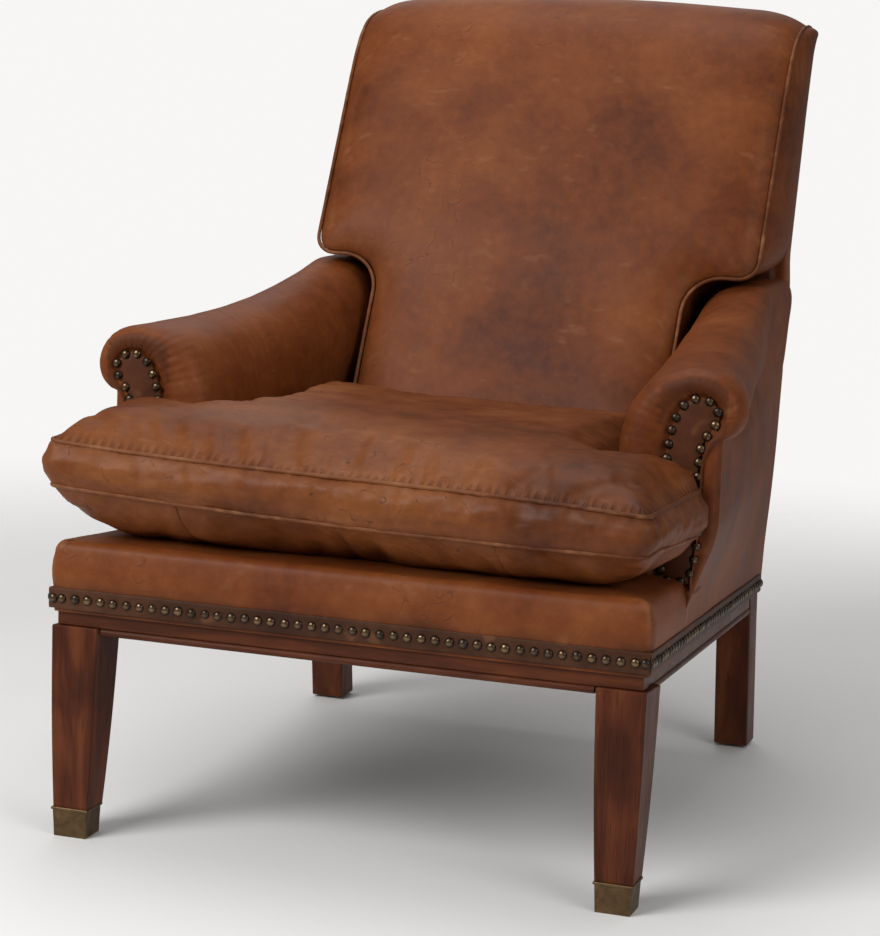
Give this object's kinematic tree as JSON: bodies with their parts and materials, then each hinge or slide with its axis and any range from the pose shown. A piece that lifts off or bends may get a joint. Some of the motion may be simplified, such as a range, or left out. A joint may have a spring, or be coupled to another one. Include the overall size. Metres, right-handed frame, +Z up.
{
  "type": "leather club armchair",
  "caption": "Low leather armchair with scroll arms set back from the seat front, a raked T-shaped back, a loose T-shaped cushion and tapered wooden legs.",
  "frame": {"origin": "on the floor, in the middle of the chair's overall width and depth", "axes": "+Z up, -Y the way the sitter faces, +X to the right of someone who looks at the chair's front"},
  "size_m": [0.7928, 0.9674, 0.958],
  "materials": {
    "show_wood": "satin polished mahogany, worn",
    "inner_wood": "bare planed beech",
    "antique_brass": "aged and rubbed",
    "leather": "waxed aniline hide with worn patina",
    "band_leather": "dark edging leather",
    "padding": "felted fibre",
    "spring_steel": "drawn wire",
    "dust_cloth": "black woven lining",
    "glide_plastic": "moulded"
  },
  "bodies": {
    "root": {"front_leg_right": "show_wood", "front_leg_left": "show_wood", "brass_cap_right": "antique_brass", "brass_cap_left": "antique_brass", "back_post_right": "show_wood", "back_post_left": "show_wood", "back_glide_right": "glide_plastic", "back_glide_left": "glide_plastic", "side_rail_right": "show_wood", "side_rail_left": "show_wood", "side_bead_right": "show_wood", "side_bead_left": "show_wood", "front_corner_block_right": "inner_wood", "front_corner_block_left": "inner_wood", "back_corner_block_right": "inner_wood", "back_corner_block_left": "inner_wood", "arm_stump_right": "inner_wood", "arm_stump_left": "inner_wood", "arm_rail_right": "inner_wood", "arm_rail_left": "inner_wood", "arm_upholstery_right": "leather", "arm_upholstery_left": "leather", "arm_facing_right": "leather", "arm_facing_left": "leather", "outside_arm_right": "leather", "outside_arm_left": "leather", "side_nail_band_right": "band_leather", "side_nail_band_left": "band_leather", "front_rail": "show_wood", "back_rail": "show_wood", "front_bead": "show_wood", "seat_platform_pad": "padding", "seat_platform_cover": "leather", "dust_cover": "dust_cloth", "back_top_rail": "inner_wood", "back_lower_rail": "inner_wood", "back_upholstery": "leather", "outside_back": "leather", "front_nail_band": "band_leather", "seat_cushion": "leather", "seat_spring_1": "spring_steel", "seat_spring_2": "spring_steel", "seat_spring_3": "spring_steel", "seat_spring_4": "spring_steel", "seat_spring_5": "spring_steel"}
  },
  "joints": []
}
